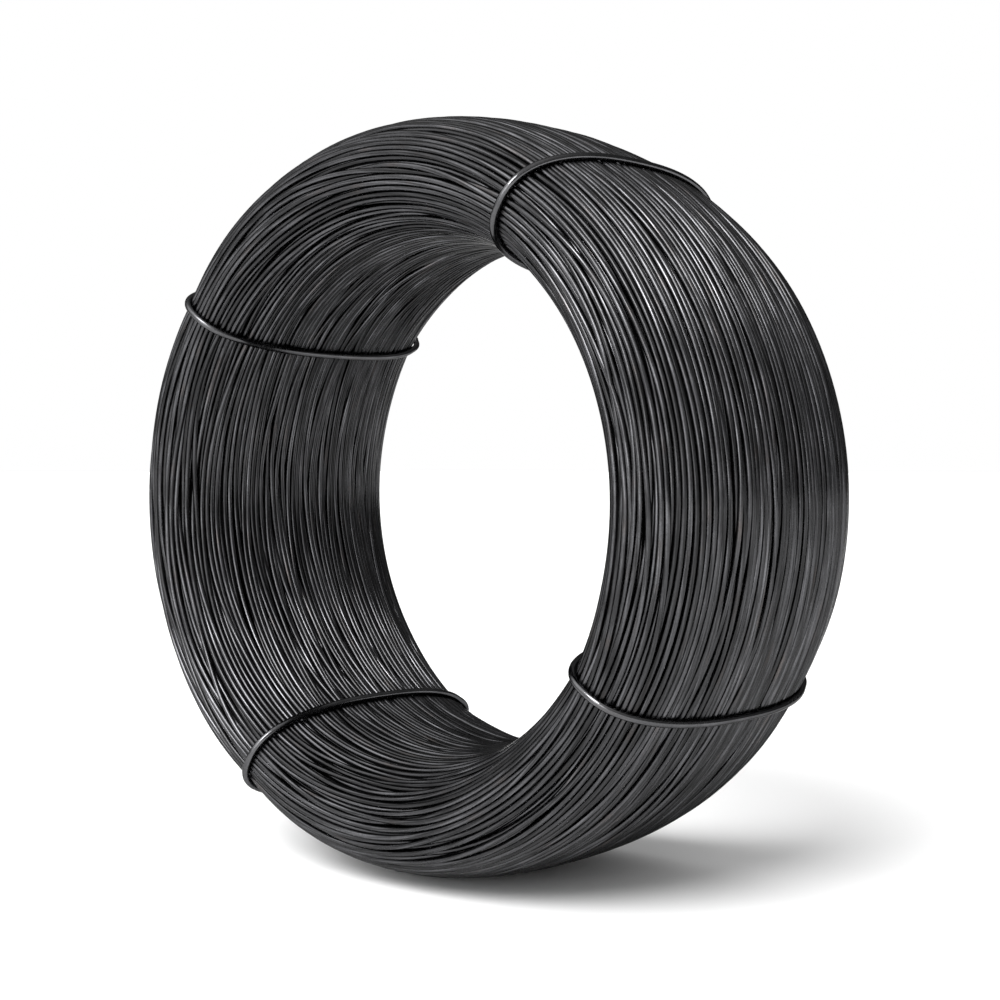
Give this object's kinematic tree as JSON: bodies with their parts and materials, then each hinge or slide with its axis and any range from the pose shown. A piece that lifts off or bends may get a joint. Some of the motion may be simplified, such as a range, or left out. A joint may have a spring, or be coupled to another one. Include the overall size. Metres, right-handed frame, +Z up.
{
  "type": "coil of wire",
  "caption": "Coil of black annealed steel wire standing on its rim, its wound turns bound into a thick ring by twisted wire ties.",
  "frame": {"origin": "the middle of the coil's eye, on the coil's axis, halfway between its two ends", "axes": "+Y along the coil's axis towards the back end, where the ties are twisted; +Z up as it stands on its rim; +X to the right as seen from the front"},
  "size_m": [0.304, 0.1382, 0.304],
  "materials": {
    "coil_wire": "black annealed drawn wire, dark oxide skin, satin",
    "tie_wire": "black annealed wire, smoother and glossier than the coil"
  },
  "bodies": {
    "root": {"wire_coil": "coil_wire", "tie_upper_right": "tie_wire", "tie_upper_left": "tie_wire", "tie_lower_left": "tie_wire", "tie_lower_right": "tie_wire"}
  },
  "joints": []
}
